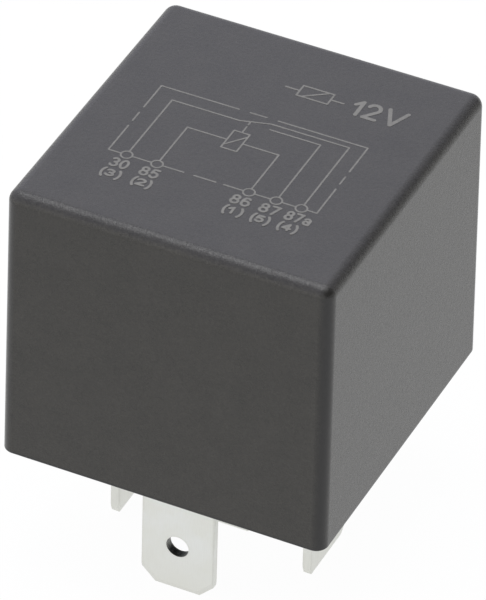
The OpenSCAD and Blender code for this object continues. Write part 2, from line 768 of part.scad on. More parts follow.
// One strip of spring bronze: leg on the yoke, two bent hinge legs, and a tongue on the armature
module contact_spring() {
    leg_w = (spring_w - window_w) / 2;
    leg_x = (spring_w - leg_w) / 2;
    leg_low = rivet_z - flag_half_h;
    window_low = spring_bend_z - window_drop;
    window_end = yoke_back - spring_bend_r - window_reach;
    color([0.78, 0.56, 0.32]) difference() {
        union() {
            translate([0, yoke_back + spring_t, 0]) in_xz() linear_extrude(spring_t) difference() {
                translate([-spring_w / 2, leg_low]) square([spring_w, spring_bend_z - leg_low]);
                translate([-window_w / 2, window_low])
                    square([window_w, spring_bend_z - window_low + cut]);
            }
            for (x = [-1, 1]) translate([x * leg_x, yoke_back - spring_bend_r, spring_bend_z])
                in_yz() fold(leg_w, 90 - rest_tilt, spring_bend_r, spring_t);
            at_rest() translate([0, 0, pole_z + armature_t]) linear_extrude(spring_t) difference() {
                tongue_outline();
                translate([-window_w / 2, window_end])
                    square([window_w, spring_end_y - window_end + cut]);
            }
        }
        at_rivet_pair() translate([0, yoke_back, rivet_z]) in_xz() rivet_hole(4 * yoke_t);
        at_rest() translate([0, 0, pole_z + armature_t]) {
            at_rivet_pair() translate([0, armature_rivet_y, 0]) rivet_hole(2 * armature_t);
            translate([0, contact_y, 0]) contact_hole(2 * armature_t);
        }
    }
}

// Double contact: two domed heads on one shank through the spring
module moving_contact() {
    color([0.86, 0.86, 0.84]) at_rest() translate([0, contact_y, pole_z + armature_t]) {
        intersection() {
            translate([0, 0, spring_t]) cylinder(d = contact_d, h = contact_t, $fn = arc_fn);
            translate([0, 0, spring_t + contact_t - dome_r]) sphere(dome_r, $fn = dome_fn);
        }
        cylinder(d = contact_shank_d, h = spring_t, $fn = arc_fn);
        intersection() {
            translate([0, 0, -contact_t]) cylinder(d = contact_d, h = contact_t, $fn = arc_fn);
            translate([0, 0, dome_r - contact_t]) sphere(dome_r, $fn = dome_fn);
        }
    }
}

module contact_87() {
    color([0.86, 0.86, 0.84]) translate([0, contact_y, no_contact_z]) fixed_contact();
}

module contact_87a() {
    color([0.86, 0.86, 0.84]) translate([0, contact_y, nc_z - contact_t])
        rotate([180, 0, 0]) fixed_contact();
}

module spring_rivets() {
    color([0.72, 0.7, 0.66]) at_rivet_pair() translate([0, flag_y + blade_t, rivet_z])
        rotate([-90, 0, 0]) rivet(blade_t + spring_t + yoke_t);
}

module armature_rivets() {
    color([0.72, 0.7, 0.66]) at_rest() at_rivet_pair()
        translate([0, armature_rivet_y, pole_z + armature_t + spring_t])
            rivet(spring_t + armature_t);
}

cover();
base();
sealing_compound();
terminal_30();
coil_terminal(-1);  // terminal_85
coil_terminal(1);  // terminal_86
terminal_87();
terminal_87a();
yoke();
core();
bobbin();
winding();
coil_lead(-1);  // coil_lead_85
coil_lead(1);  // coil_lead_86
armature();
contact_spring();
moving_contact();
contact_87();
contact_87a();
spring_rivets();
armature_rivets();
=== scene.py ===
"""Looks of a plug-in automotive relay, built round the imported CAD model: metres, the CAD's own frame."""

import math

import bmesh
import bpy
from mathutils import Matrix, Vector


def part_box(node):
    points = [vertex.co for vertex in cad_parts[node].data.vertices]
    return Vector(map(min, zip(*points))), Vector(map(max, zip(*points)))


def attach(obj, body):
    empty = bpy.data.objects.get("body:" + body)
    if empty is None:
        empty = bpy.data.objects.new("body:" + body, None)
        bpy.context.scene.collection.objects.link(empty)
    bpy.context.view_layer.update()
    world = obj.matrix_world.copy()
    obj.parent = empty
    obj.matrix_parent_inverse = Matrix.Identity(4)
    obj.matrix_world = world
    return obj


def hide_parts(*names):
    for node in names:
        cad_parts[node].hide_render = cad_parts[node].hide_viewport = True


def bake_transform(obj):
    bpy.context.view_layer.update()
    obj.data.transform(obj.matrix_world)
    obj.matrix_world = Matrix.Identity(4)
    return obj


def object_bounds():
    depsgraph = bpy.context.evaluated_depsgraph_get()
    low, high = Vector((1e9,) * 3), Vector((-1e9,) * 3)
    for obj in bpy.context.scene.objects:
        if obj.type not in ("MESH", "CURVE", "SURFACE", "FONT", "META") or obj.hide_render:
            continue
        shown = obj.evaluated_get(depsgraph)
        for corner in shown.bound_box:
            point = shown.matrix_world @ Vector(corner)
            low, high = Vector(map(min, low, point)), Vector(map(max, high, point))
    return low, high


MM = 0.001

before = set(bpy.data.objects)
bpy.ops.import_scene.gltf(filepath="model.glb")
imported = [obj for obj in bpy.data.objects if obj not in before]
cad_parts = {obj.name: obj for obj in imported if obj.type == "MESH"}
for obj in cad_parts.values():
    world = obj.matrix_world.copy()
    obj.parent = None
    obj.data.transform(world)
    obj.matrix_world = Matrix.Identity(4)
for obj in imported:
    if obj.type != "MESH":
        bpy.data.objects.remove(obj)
CAD_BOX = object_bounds()
CASE_LOW, CASE_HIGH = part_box("cover")
LID_Z = CASE_HIGH.z
CASE_W = CASE_HIGH.x - CASE_LOW.x
CASE_D = CASE_HIGH.y - CASE_LOW.y
CASE_MIDDLE = Vector((0, 0, LID_Z / 2))
FLOOR_Z = CAD_BOX[0][2]
# Vertices closer than this are one vertex
MERGE = 0.0001 * MM


def add_object(name, data):
    """A new object in the scene."""
    made = bpy.data.objects.new(name, data)
    bpy.context.scene.collection.objects.link(made)
    return made


def add_piece(name, bm, material):
    """A new object from a finished mesh, which is used up, with its material."""
    mesh = bpy.data.meshes.new(name)
    bm.to_mesh(mesh)
    bm.free()
    mesh.materials.append(material)
    return add_object(name, mesh)


# ---- Camera ----

CAMERA_AZIMUTH = math.radians(24.55)
CAMERA_ELEVATION = math.radians(37.835)
CAMERA_ROLL = math.radians(1.672)
CAMERA_DISTANCE = 543.97 * MM
SENSOR = 36
LENS = 417.2
# How far the middle of the picture lies to the left of and below the middle of the case
AIM_LEFT = 0.119 * MM
AIM_DOWN = 2.257 * MM
# Nearest and farthest that the camera sees, in metres
CLIP_NEAR, CLIP_FAR = 0.01, 20


def add_camera():
    """Camera turned towards the front blade, with the case above the middle of the picture."""
    az, el, roll = CAMERA_AZIMUTH, CAMERA_ELEVATION, CAMERA_ROLL
    back = Vector((math.sin(az) * math.cos(el), -math.cos(az) * math.cos(el), math.sin(el)))
    level = Vector((math.cos(az), math.sin(az), 0))
    rise = back.cross(level)
    right = math.cos(roll) * level + math.sin(roll) * rise
    up = math.cos(roll) * rise - math.sin(roll) * level
    data = bpy.data.cameras.new("camera")
    data.sensor_width = SENSOR
    data.lens = LENS
    data.clip_start = CLIP_NEAR
    data.clip_end = CLIP_FAR
    camera = add_object("camera", data)
    camera.location = CASE_MIDDLE + CAMERA_DISTANCE * back
    aim = CASE_MIDDLE - AIM_LEFT * right - AIM_DOWN * up
    new_back = (camera.location - aim).normalized()
    new_right = up.cross(new_back).normalized()
    new_up = new_back.cross(new_right)
    camera.rotation_euler = Matrix((new_right, new_up, new_back)).transposed().to_euler()
    bpy.context.scene.camera = camera


# ---- Shader nodes ----


class Nodes:
    """A node tree, with the kinds of node that the materials and the world share."""

    def __init__(self, tree):
        self.tree = tree

    def add(self, kind, **settings):
        """A new node with its settings."""
        node = self.tree.nodes.new(kind)
        for key, value in settings.items():
            setattr(node, key, value)
        return node

    def link(self, a, b):
        """Joins an output to an input."""
        self.tree.links.new(a, b)

    def math(self, operation, a, b):
        """Sum, product and the like of two values, each a number or a socket."""
        node = self.add("ShaderNodeMath", operation=operation)
        for socket, value in zip(node.inputs, (a, b)):
            if isinstance(value, (int, float)):
                socket.default_value = value
            else:
                self.link(value, socket)
        return node.outputs[0]

    def span(self, value, low, high, from_low=0.0, from_high=1.0, kind="LINEAR"):
        """A value moved from one range to another, and held at that range's ends."""
        node = self.add("ShaderNodeMapRange", interpolation_type=kind)
        for key, number in (("From Min", from_low), ("From Max", from_high),
                            ("To Min", low), ("To Max", high)):
            node.inputs[key].default_value = number
        self.link(value, node.inputs["Value"])
        return node.outputs["Result"]


class Shader(Nodes):
    """A new material, with coordinates in millimetres and the kinds of node that materials need."""

    def __init__(self, name):
        self.material = bpy.data.materials.new(name)
        self.material.use_nodes = True
        super().__init__(self.material.node_tree)
        self.surface = self.tree.nodes["Principled BSDF"]
        place = self.add("ShaderNodeTexCoord")
        scale = self.add("ShaderNodeVectorMath", operation="SCALE")
        scale.inputs["Scale"].default_value = 1 / MM
        self.link(place.outputs["Object"], scale.inputs[0])
        self.mm = scale.outputs["Vector"]

    def set(self, **values):
        """Constants of the surface, by the socket's name with _ for a space."""
        for key, value in values.items():
            self.surface.inputs[key.replace("_", " ")].default_value = value

    def stretched(self, x, y, z):
        """Coordinates in millimetres, scaled along each axis, for grain with a direction."""
        node = self.add("ShaderNodeVectorMath", operation="MULTIPLY")
        node.inputs[1].default_value = (x, y, z)
        self.link(self.mm, node.inputs[0])
        return node.outputs["Vector"]

    def noise(self, per_mm, detail=3, roughness=0.5, where=None):
        """Noise from 0 to 1, with so many cells to a millimetre."""
        node = self.add("ShaderNodeTexNoise")
        node.inputs["Scale"].default_value = per_mm
        node.inputs["Detail"].default_value = detail
        node.inputs["Roughness"].default_value = roughness
        self.link(where or self.mm, node.inputs["Vector"])
        return node.outputs["Fac"]

    def blend_colours(self, factor, a, b):
        """Mix of two colours, each an RGB tuple or a socket."""
        node = self.add("ShaderNodeMix", data_type="RGBA")
        self.link(factor, node.inputs["Factor"])
        for socket, colour in ((node.inputs[6], a), (node.inputs[7], b)):
            if isinstance(colour, tuple):
                socket.default_value = (*colour, 1)
            else:
                self.link(colour, socket)
        return node.outputs[2]

    def height(self):
        """Height in millimetres."""
        node = self.add("ShaderNodeSeparateXYZ")
        self.link(self.mm, node.inputs[0])
        return node.outputs["Z"]

    def attribute(self, name):
        """A value that a mesh carries on its vertices, and 0 on a mesh without it."""
        return self.add("ShaderNodeAttribute", attribute_name=name).outputs["Fac"]

    def edges(self, width_mm):
        """1 on the sharp edges and 0 elsewhere."""
        rounded = self.add("ShaderNodeBevel", samples=2)
        rounded.inputs["Radius"].default_value = width_mm * MM
        plain = self.add("ShaderNodeNewGeometry")
        turn = self.add("ShaderNodeVectorMath", operation="DOT_PRODUCT")
        self.link(rounded.outputs["Normal"], turn.inputs[0])
        self.link(plain.outputs["Normal"], turn.inputs[1])
        return self.span(turn.outputs["Value"], 1, 0, 0.94, 0.995)

    def hollows(self, reach_mm, shut, clear):
        """0 where the piece itself shuts the surface in, 1 where it is clear."""
        node = self.add("ShaderNodeAmbientOcclusion", samples=6, only_local=True)
        node.inputs["Distance"].default_value = reach_mm * MM
        return self.span(node.outputs["AO"], 0, 1, shut, clear)

    def colour(self, socket):
        """Drives the surface's colour."""
        self.link(socket, self.surface.inputs["Base Color"])

    def roughness(self, socket):
        """Drives the surface's roughness."""
        self.link(socket, self.surface.inputs["Roughness"])

    def bump(self, height, strength, depth_mm):
        """Relief too fine for geometry."""
        node = self.add("ShaderNodeBump")
        node.inputs["Strength"].default_value = strength
        node.inputs["Distance"].default_value = depth_mm * MM
        self.link(height, node.inputs["Height"])
        self.link(node.outputs["Normal"], self.surface.inputs["Normal"])


# ---- Materials ----


def case_plastic():
    """Black moulded plastic: spark-eroded grain on the faces; the edges are smoother and darker, the
    darkness being painted shade that stands in for dark reflections.
    """
    s = Shader("case_plastic")
    cloud = s.noise(0.35, detail=5, roughness=0.6)
    grain = s.noise(2.6, detail=5, roughness=0.8)
    edge = s.attribute("edge")
    speck = s.span(s.noise(3.2, detail=5, roughness=0.8), 0, 1, 0.3, 0.7)
    mottle = s.span(s.math("ADD", cloud, speck), 0, 1, 0.6, 1.4)
    face = s.blend_colours(mottle, (0.0172, 0.0160, 0.0124), (0.0304, 0.0282, 0.0220))
    # Painted shade: the edges' colour goes nearly black, standing in for the dark reflections on the
    # fillets
    painted_edge_shade = s.blend_colours(speck, (0.005, 0.005, 0.005), (0.015, 0.014, 0.013))
    s.colour(s.blend_colours(edge, face, painted_edge_shade))
    rough_face = s.span(grain, 0.25, 0.30, 0.3, 0.7)
    s.roughness(s.math("SUBTRACT", rough_face, s.math("MULTIPLY", edge, 0.06)))
    s.set(Specular_IOR_Level=0.5)
    rugged = s.math("MULTIPLY", grain, s.span(s.attribute("lid_edge"), 1, 4))
    s.bump(rugged, 0.36, 0.05)
    return s.material


def base_plastic():
    """Black glass-filled moulding, duller than the case."""
    s = Shader("base_plastic")
    grain = s.noise(4, detail=4)
    s.colour(s.blend_colours(grain, (0.016, 0.016, 0.016), (0.026, 0.026, 0.027)))
    s.roughness(s.span(grain, 0.42, 0.6))
    s.bump(grain, 0.3, 0.01)
    return s.material


def epoxy():
    """Cast sealing compound with a smooth, slightly wavy top."""
    s = Shader("sealing_epoxy")
    swirl = s.noise(0.5, detail=2)
    s.colour(s.blend_colours(swirl, (0.010, 0.010, 0.011), (0.018, 0.018, 0.020)))
    s.roughness(s.span(swirl, 0.12, 0.25))
    s.bump(swirl, 0.5, 0.05)
    return s.material


def tin_plate():
    """Matt tin on stamped brass: rolling lines, cloudy stains, tips darker and yellower towards the floor,
    and painted shade along the sharp edges and in the detent holes.
    """
    s = Shader("tinned_blade")
    cloud = s.noise(0.42, detail=4, roughness=0.55)
    lines = s.noise(2.5, detail=3, where=s.stretched(5, 5, 0.35))
    tint = s.blend_colours(s.span(cloud, 0, 1, 0.36, 0.62), (0.72, 0.73, 0.69), (0.75, 0.765, 0.75))
    tint = s.blend_colours(s.span(lines, 0, 0.2, 0.4, 0.7), tint, (0.66, 0.66, 0.63))
    # Painted shade: the sharp edges are darkened to draw a thin dark outline
    tint = s.blend_colours(s.math("MULTIPLY", s.edges(0.35), 0.6), tint, (0.57, 0.575, 0.53))
    tips = s.span(s.height(), 0.9, 0, FLOOR_Z / MM, FLOOR_Z / MM + 7)
    tint = s.blend_colours(tips, tint, (0.69, 0.695, 0.65))
    # Painted shade: where the piece shuts itself in, chiefly the detent hole walls, the colour goes nearly
    # black
    s.colour(s.blend_colours(s.hollows(2.0, 0.7, 0.97), (0.02, 0.02, 0.018), tint))
    s.set(Metallic=1.0)
    s.roughness(s.span(lines, 0.34, 0.46, 0.3, 0.7))
    s.bump(s.noise(6, detail=3), 0.2, 0.004)
    return s.material


def metal(name, dark, light, rough, per_mm=1.2, along=(1, 1, 1)):
    """Plain metal with cloudy stains, drawn out along an axis where along has a number below 1."""
    s = Shader(name)
    cloud = s.noise(per_mm, detail=4, where=s.stretched(*along))
    s.colour(s.blend_colours(s.span(cloud, 0, 1, 0.3, 0.7), dark, light))
    s.set(Metallic=1.0)
    s.roughness(s.span(cloud, rough - 0.06, rough + 0.08, 0.3, 0.7))
    s.bump(s.noise(9 * per_mm, detail=3), 0.25, 0.004)
    return s.material


def nylon():
    """Natural nylon of the bobbin, slightly translucent."""
    s = Shader("bobbin_plastic")
    cloud = s.noise(0.5, detail=3)
    s.colour(s.blend_colours(cloud, (0.60, 0.56, 0.44), (0.70, 0.67, 0.55)))
    s.roughness(s.span(cloud, 0.38, 0.5))
    s.set(Subsurface_Weight=0.15, Subsurface_Scale=0.3 * MM)
    s.bump(s.noise(5, detail=3), 0.2, 0.006)
    return s.material


def enamel():
    """Copper wire under clear enamel."""
    s = Shader("enamelled_copper")
    cloud = s.noise(0.8, detail=3)
    s.colour(s.blend_colours(cloud, (0.50, 0.16, 0.05), (0.66, 0.26, 0.10)))
    s.set(Metallic=0.85, Coat_Weight=0.6, Coat_Roughness=0.1)
    s.roughness(s.span(cloud, 0.22, 0.34))
    return s.material


def marking_ink():
    """Warm grey pad print, thinner here and there so that the plastic shows through."""
    s = Shader("marking_ink")
    thin = s.noise(2.2, detail=4, roughness=0.7)
    cover = s.span(thin, 0, 1, 0.35, 0.6)
    s.colour(s.blend_colours(cover, (0.130, 0.126, 0.110), (0.162, 0.157, 0.138)))
    s.roughness(s.span(thin, 0.5, 0.62))
    return s.material


def dress_cad():
    """Gives every CAD node but the cover its material."""
    iron = metal("soft_iron", (0.46, 0.45, 0.42), (0.56, 0.55, 0.52), 0.36)
    silver = metal("contact_silver", (0.80, 0.79, 0.76), (0.88, 0.87, 0.85), 0.28, 2.5)
    steel = metal("rivet_steel", (0.52, 0.51, 0.48), (0.64, 0.63, 0.60), 0.3, 2.0)
    bronze = metal("spring_bronze", (0.62, 0.38, 0.18), (0.74, 0.50, 0.27), 0.3, 1.6, (1, 0.2, 1))
    tin, wire, black = tin_plate(), enamel(), base_plastic()
    looks = {
        "base": black, "sealing_compound": epoxy(), "yoke": iron, "core": iron, "armature": iron,
        "bobbin": nylon(), "winding": wire, "coil_lead_85": wire, "coil_lead_86": wire,
        "moving_contact": silver, "contact_87": silver, "contact_87a": silver,
        "spring_rivets": steel, "armature_rivets": steel, "terminal_30": tin, "terminal_85": tin,
        "terminal_86": tin, "terminal_87": tin, "terminal_87a": tin, "contact_spring": bronze,
    }
    for node, material in looks.items():
        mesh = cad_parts[node].data
        mesh.materials.clear()
        mesh.materials.append(material)


# ---- Case ----

# How far the walls lean in on the way from the rim to the lid
DRAFT = 0.25 * MM
# Fillets of the four uprights, the lid's edge and the rim
UPRIGHT_R = 1.06 * MM
LID_EDGE_R = 1.05 * MM
RIM_R = 0.12 * MM
# The wall is thinner below the ledge, where it takes in the base
WALL = 1.1 * MM
RIM_WALL = 0.8 * MM
LEDGE_Z = 3.4 * MM
LID_T = 1.2 * MM
# Fillets inside: the rim's corners, the cavity's uprights and its corners under the lid
INNER_UPRIGHT_R = UPRIGHT_R / 4
INNER_R = 0.4 * MM
CAVITY_CORNER_R = INNER_R / 4
# Steps in a quarter circle, and round the rim
ARC_STEPS = 12
RIM_STEPS = 2 * ARC_STEPS // 3
# A row of vertices this far from a fillet keeps its shading off the flat face beside it
GUARD = 0.1 * MM
LID_GUARD = 0.012 * CASE_W
# Weight of the painted edge shade and the smoother finish at the middle of the lid's fillet, where the rim
# and the uprights are 1
LID_EDGE_SHADE_AND_GLOSS = 0.1


def lean(z):
    """How far the walls have moved inwards at a height."""
    return DRAFT * z / LID_Z


def ring(inset, r, z):
    """Points round the case at a height, inset from its rim, with corners of radius r."""
    half_w = CASE_W / 2 - inset - r
    half_d = CASE_D / 2 - inset - r
    points = []
    for quarter, (sx, sy) in enumerate(((1, 1), (-1, 1), (-1, -1), (1, -1))):
        for k in range(ARC_STEPS + 1):
            a = math.pi / 2 * (quarter + k / ARC_STEPS)
            points.append((sx * half_w + r * math.cos(a), sy * half_d + r * math.sin(a), z))
    return points


def case_rings():
    """(ring, edge, lid edge) from the ledge, down round the rim, up the wall and over the lid."""
    rows = [(ring(RIM_WALL + lean(LEDGE_Z), INNER_UPRIGHT_R, LEDGE_Z), 0.0, 0.0),
            (ring(RIM_WALL, INNER_UPRIGHT_R, RIM_R), 0.0, 0.0)]
    for k in range(1, RIM_STEPS):
        a = math.pi * k / RIM_STEPS
        if a < math.pi / 2:
            inset = RIM_WALL - RIM_R * (1 - math.cos(a))
        else:
            inset = RIM_R * (1 + math.cos(a))
        r = INNER_UPRIGHT_R + (UPRIGHT_R - INNER_UPRIGHT_R) * (1 - inset / RIM_WALL)
        rows.append((ring(inset, r, RIM_R * (1 - math.sin(a))), 1.0, 0.0))
    wall_top = LID_Z - LID_EDGE_R
    for z, edge in ((RIM_R, 1.0), (RIM_R + GUARD, 1.0), (RIM_R + 2 * GUARD, 0.0),
                    (wall_top - GUARD, 0.0), (wall_top, 0.0)):
        rows.append((ring(lean(z), UPRIGHT_R, z), edge, 0.0))
    for k in range(1, ARC_STEPS + 1):
        a = math.pi / 2 * k / ARC_STEPS
        inset = lean(wall_top) + LID_EDGE_R * (1 - math.cos(a))
        r = UPRIGHT_R - LID_EDGE_R * (1 - math.cos(a))
        bulge = math.sin(2 * a)
        rows.append((ring(inset, r, wall_top + LID_EDGE_R * math.sin(a)), LID_EDGE_SHADE_AND_GLOSS * bulge, bulge))
    flat = lean(wall_top) + LID_EDGE_R + LID_GUARD
    rows.append((ring(flat, UPRIGHT_R - LID_EDGE_R, LID_Z), 0.0, 0.0))
    return rows


def case_shell(material):
    """The moulded case: one closed shell with the wall, the lid and the step that the base seats on."""
    bm = bmesh.new()
    edge_layer = bm.verts.layers.float.new("edge")
    lid_edge_layer = bm.verts.layers.float.new("lid_edge")
    rows = []
    cavity_top = LID_Z - LID_T
    inside = [ring(WALL + lean(cavity_top) + INNER_R, CAVITY_CORNER_R, cavity_top),
              ring(WALL + lean(cavity_top), INNER_R, cavity_top - INNER_R),
              ring(WALL + lean(LEDGE_Z), INNER_R, LEDGE_Z)]
    for points, edge, lid_edge in [(p, 0.0, 0.0) for p in inside] + case_rings():
        row = [bm.verts.new(p) for p in points]
        for v in row:
            v[edge_layer] = edge
            v[lid_edge_layer] = lid_edge
        rows.append(row)
    # The uprights get the painted edge shade and the smoother finish too, and that runs out in the lid's
    # fillet
    for row in rows[len(inside):]:
        for n, v in enumerate(row):
            turn = (n % (ARC_STEPS + 1)) / ARC_STEPS
            share = min(1, (LID_Z - v.co.z) / LID_EDGE_R)
            v[edge_layer] = max(v[edge_layer], math.sin(math.pi * turn) * share)
    for low, high in zip(rows, rows[1:]):
        for n in range(len(low)):
            m = (n + 1) % len(low)
            bm.faces.new((low[n], low[m], high[m], high[n]))
    bm.faces.new(rows[0])
    bm.faces.new(rows[-1])
    bmesh.ops.remove_doubles(bm, verts=bm.verts, dist=MERGE)
    bmesh.ops.recalc_face_normals(bm, faces=bm.faces)
    for face in bm.faces:
        face.smooth = True
    piece = add_piece("case_shell", bm, material)
    weighted = piece.modifiers.new("flat_faces", "WEIGHTED_NORMAL")
    weighted.keep_sharp = True
    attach(piece, "housing")
    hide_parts("cover")


# ---- Print on the lid ----

# Sizes in this section are in millimetres on the lid, from its middle: x to the right, y to the back
INK_T = 0.008
# How deep the strokes reach into the lid
INK_ROOT = 0.01
# Each stroke stands this much above the one before, so that crossing strokes don't share a plane
INK_STEP = 0.0002
# Stroke widths of the diagram, the voltage, the numbers and the coil sign
LINE_W = 0.142
BOLD_W = 0.33
LABEL_W = 0.22
SYMBOL_W = 0.155
# Steps in the half circle at the end of a stroke
CAP_STEPS = 8
# The whole print sits this much nearer the front than it is drawn
INK_FRONT = 0.023
# A stroke is broken where it turns by more than this
SHARP_TURN = math.radians(50)


def arc(cx, cy, rx, ry, start, end, steps=14):
    """Points on an ellipse between two angles in degrees."""
    angles = [math.radians(start + (end - start) * k / steps) for k in range(steps + 1)]
    return [(cx + rx * math.cos(a), cy + ry * math.sin(a)) for a in angles]


# Each sign as strokes on a field about 0.56 wide and 1 high
GLYPHS = {
    "0": [arc(0.28, 0.5, 0.27, 0.5, 90, 450, 28)],
    "1": [[(0.02, 0.70), (0.30, 1.0), (0.30, 0.0)]],
    "2": [arc(0.27, 0.73, 0.27, 0.27, 165, -35) + [(0.0, 0.0), (0.58, 0.0)]],
    "3": [arc(0.26, 0.75, 0.24, 0.25, 150, -90) + arc(0.26, 0.26, 0.28, 0.26, 85, -150)],
    "4": [[(0.40, 0.0), (0.40, 1.0), (0.0, 0.28), (0.56, 0.28)]],
    "5": [[(0.50, 1.0), (0.10, 1.0), (0.05, 0.52)] + arc(0.26, 0.32, 0.28, 0.32, 125, -150)],
    "6": [arc(0.30, 0.5, 0.28, 0.5, 50, 180), arc(0.28, 0.30, 0.26, 0.30, 180, 540, 24)],
    "7": [[(0.02, 1.0), (0.54, 1.0), (0.20, 0.0)]],
    "8": [arc(0.28, 0.76, 0.22, 0.24, 90, 450, 24), arc(0.28, 0.27, 0.27, 0.27, 90, 450, 24)],
    "a": [arc(0.25, 0.48, 0.23, 0.24, 150, 0) + [(0.48, 0.0)], arc(0.24, 0.2, 0.22, 0.2, 60, 420, 24)],
    "V": [[(0.0, 1.0), (0.40, 0.0), (0.80, 1.0)]],
    "(": [arc(0.36, 0.40, 0.30, 0.87, 118, 242)],
    ")": [arc(-0.08, 0.40, 0.30, 0.87, 62, -62)],
}
# How far the next sign's field is moved on
ADVANCE = {"(": 0.40, ")": 0.42}
DIGIT_ADVANCE = 0.80


class Ink:
    """Mesh of raised ink strokes."""

    def __init__(self):
        self.bm = bmesh.new()
        self.height = INK_T

    def loop(self, outline):
        """Vertices of an outline at the top of the ink and just inside the lid."""
        points = [(x * MM, (y - INK_FRONT) * MM) for x, y in outline]
        top = LID_Z + self.height * MM
        root = LID_Z - INK_ROOT * MM
        high = [self.bm.verts.new((x, y, top)) for x, y in points]
        low = [self.bm.verts.new((x, y, root)) for x, y in points]
        return high, low

    def walls(self, high, low):
        """Side faces between the top and the root of an outline."""
        for n in range(len(high)):
            m = (n + 1) % len(high)
            self.bm.faces.new((high[n], high[m], low[m], low[n]))

    def run(self, points, width):
        """One smooth stroke: a band with round ends, or a ring where it closes on itself."""
        self.height += INK_STEP
        if math.dist(points[0], points[-1]) < INK_STEP:
            self.closed_band(*self.sides(points[:-1], width / 2, True))
        else:
            self.open_band(points, *self.sides(points, width / 2, False), width / 2)

    def sides(self, points, half, closed):
        """The two sides of a band of half that width on each side of a line, with mitred corners."""
        left, right = [], []
        for n, (x, y) in enumerate(points):
            before = points[n - 1] if n or closed else points[0]
            after = points[(n + 1) % len(points)] if n + 1 < len(points) or closed else points[-1]
            ways = [math.atan2(q[1] - p[1], q[0] - p[0])
                    for p, q in ((before, (x, y)), ((x, y), after)) if math.dist(p, q) > 0]
            turn = (ways[-1] - ways[0] + math.pi) % (2 * math.pi) - math.pi
            heading = ways[0] + turn / 2
            reach = half / math.cos(turn / 2)
            step_x, step_y = -math.sin(heading) * reach, math.cos(heading) * reach
            left.append((x + step_x, y + step_y))
            right.append((x - step_x, y - step_y))
        return left, right

    def closed_band(self, left, right):
        """A ring between two closed sides."""
        sides = [self.loop(left), self.loop(right)]
        for high, low in sides:
            self.walls(high, low)
        for a, b in zip(*sides):
            for n in range(len(a)):
                m = (n + 1) % len(a)
                self.bm.faces.new((a[n], a[m], b[m], b[n]))

    def open_band(self, points, left, right, half):
        """A band between two sides, with a half circle round each end of the line."""
        count = len(points)

        def cap(tip, side):
            """Points of the half circle from one side of the band round to the other."""
            start = math.degrees(math.atan2(side[1] - tip[1], side[0] - tip[0]))
            return arc(*tip, half, half, start, start - 180, CAP_STEPS)[1:-1]

        outline = left + cap(points[-1], left[-1]) + right[::-1] + cap(points[0], right[0])
        high, low = self.loop(outline)
        self.walls(high, low)
        total = len(outline)
        far = count + CAP_STEPS - 1
        for level in (high, low):
            for n in range(count - 1):
                opposite = far + count - 1 - n
                self.bm.faces.new((level[n], level[n + 1], level[opposite - 1], level[opposite]))
            self.bm.faces.new(level[count - 1:far + 1])
            self.bm.faces.new([level[k % total] for k in range(far + count - 1, total + 1)])

    def stroke(self, points, width):
        """A stroke, broken into runs where it turns sharply."""
        run = [points[0]]
        for n in range(1, len(points)):
            run.append(points[n])
            if n + 1 < len(points):
                (x0, y0), (x1, y1), (x2, y2) = points[n - 1:n + 2]
                turn = math.atan2(y2 - y1, x2 - x1) - math.atan2(y1 - y0, x1 - x0)
                if abs((turn + math.pi) % (2 * math.pi) - math.pi) > SHARP_TURN:
                    self.run(run, width)
                    run = [points[n]]
        self.run(run, width)

    def word(self, text, left, right, low, high, width):
        """Signs that fill a field, their strokes included."""
        strokes, x = [], 0
        for sign in text:
            strokes += [[(x + px, py) for px, py in stroke] for stroke in GLYPHS[sign]]
            x += ADVANCE.get(sign, DIGIT_ADVANCE)
        xs = [px for stroke in strokes for px, _ in stroke]
        ys = [py for stroke in strokes for _, py in stroke]
        wide = (right - left - width) / (max(xs) - min(xs))
        tall = (high - low - width) / (max(ys) - min(ys))
        for stroke in strokes:
            self.stroke([(left + width / 2 + wide * (px - min(xs)), low + width / 2 + tall * (py - min(ys)))
                         for px, py in stroke], width)


# The diagram's frame, and the pins on its lower side
FRAME_LEFT, FRAME_RIGHT = -9.14, 8.57
FRAME_TOP, FRAME_BOTTOM = 3.48, -5.8
PIN_R = 0.46
PINS = {"30": -7.58, "85": -4.98, "86": 2.84, "87": 5.15, "87a": 7.27}
# Each sign's text, left and right
NUMBER_LOW, NUMBER_HIGH = -7.63, -6.42
NUMBERS = (("30", -8.35, -6.80), ("85", -5.83, -4.21), ("86", 1.88, 3.56),
           ("87", 4.32, 6.0), ("87a", 6.48, 8.70))
BRACKET_LOW, BRACKET_HIGH = -9.15, -7.84
BRACKETS = (("(3)", -8.50, -6.75), ("(2)", -5.85, -4.14), ("(1)", 1.90, 3.60),
            ("(5)", 4.26, 5.86), ("(4)", 6.51, 8.20))
# Each sign's text, left, right, low and high
VOLTAGE = (("1", 5.20, 6.02, 6.80, 8.91), ("2", 6.28, 7.65, 6.80, 8.95), ("V", 7.87, 9.75, 6.76, 9.0))


